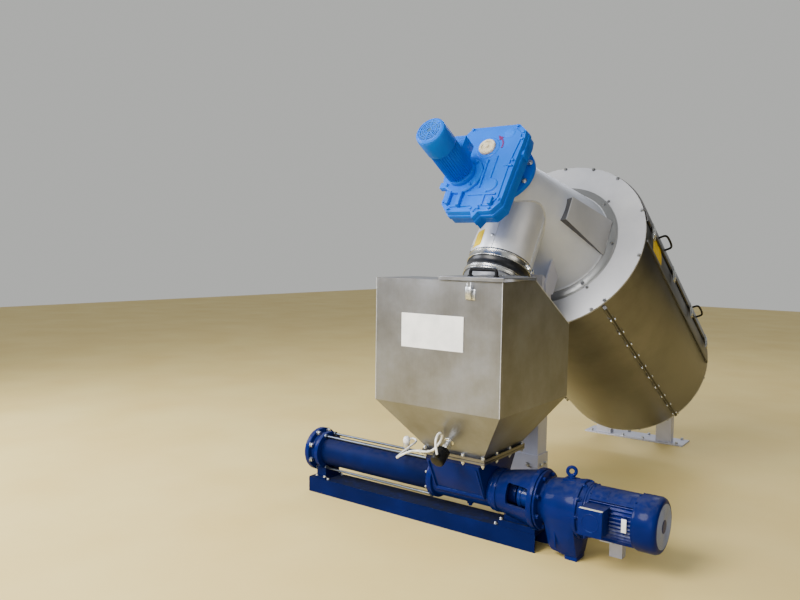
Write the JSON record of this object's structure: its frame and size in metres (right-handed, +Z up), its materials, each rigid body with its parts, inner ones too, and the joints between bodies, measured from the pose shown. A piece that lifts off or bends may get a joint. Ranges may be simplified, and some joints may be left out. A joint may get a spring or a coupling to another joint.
{
  "type": "rotary screw thickener",
  "caption": "Inclined rotary drum sludge thickener on two supports, with geared drive, discharge chute, tapered sludge hopper and a progressing cavity pump on a skid.",
  "frame": {"origin": "centre of the underside of the column base plate, on the floor", "axes": "+Z up; +Y level, downhill along the thickener, away from the hopper's front; +X along the pump from its discharge to its motor"},
  "size_m": [1.84, 2.6393, 1.8329],
  "materials": {
    "stainless_steel": "brushed stainless sheet",
    "bright_steel": "bright stainless steel",
    "galvanised_steel": "galvanised",
    "machined_steel": "machined",
    "light_blue_paint": "satin paint on cast iron",
    "dark_blue_paint": "gloss paint on cast iron and steel",
    "black_rubber": "matt rubber",
    "black_plastic": "satin plastic",
    "beige_plastic": "satin plastic",
    "white_plate": "satin plastic plate"
  },
  "bodies": {
    "machine": {"drum_housing": "stainless_steel", "front_plate": "stainless_steel", "lower_end_plate": "stainless_steel", "top_cover": "stainless_steel", "cover_rail_right": "stainless_steel", "cover_rail_left": "stainless_steel", "seam_flange_right": "stainless_steel", "seam_flange_left": "stainless_steel", "transition_ring": "stainless_steel", "transition_cone": "stainless_steel", "inspection_cover": "stainless_steel", "discharge_chute": "stainless_steel", "support_column": "stainless_steel", "column_foot": "stainless_steel", "column_base_plate": "stainless_steel", "column_head_plate": "stainless_steel", "column_bracket_right": "stainless_steel", "column_bracket_left": "stainless_steel", "lower_base_plate": "stainless_steel", "lower_leg_right": "stainless_steel", "lower_leg_left": "stainless_steel", "inlet_stub": "stainless_steel", "hopper_body": "stainless_steel", "hopper_flange": "stainless_steel", "upper_sleeve_clamp": "bright_steel", "lower_sleeve_clamp": "bright_steel", "lid_latch": "bright_steel", "lid_hinge": "bright_steel", "level_sensor_socket": "bright_steel", "drive_flange": "light_blue_paint", "drive_gear_case": "light_blue_paint", "drive_motor": "light_blue_paint", "drive_fan_cover": "light_blue_paint", "drive_terminal_box": "light_blue_paint", "pump_discharge_flange": "dark_blue_paint", "pump_stator": "dark_blue_paint", "pump_suction_housing": "dark_blue_paint", "pump_lantern": "dark_blue_paint", "pump_gear_case": "dark_blue_paint", "pump_motor": "dark_blue_paint", "pump_fan_cover": "dark_blue_paint", "pump_terminal_box": "dark_blue_paint", "pump_lifting_eye": "dark_blue_paint", "pump_skid": "dark_blue_paint", "stator_foot": "dark_blue_paint", "lantern_pedestal": "dark_blue_paint", "rubber_sleeve": "black_rubber", "shaft_cap": "beige_plastic", "sign_plate": "white_plate", "cover_handle_1": "black_plastic", "cover_handle_2": "black_plastic", "level_sensor_head": "black_plastic", "motor_support": "galvanised_steel"},
    "hopper_lid": {"hopper_lid": "stainless_steel", "lid_handle": "black_plastic"},
    "coupling_shaft": {"coupling_shaft": "machined_steel"}
  },
  "joints": [
    {"name": "lid_hinge", "type": "hinge", "parent": "machine", "child": "hopper_lid", "pos_m": [0.164, -0.4795, 1.158], "axis": [1, 0, 0], "range_deg": [-70, 0]},
    {"name": "coupling_spin", "type": "hinge", "parent": "machine", "child": "coupling_shaft", "pos_m": [0.23, -0.4265, 0.217], "axis": [1, 0, 0], "continuous": true}
  ]
}
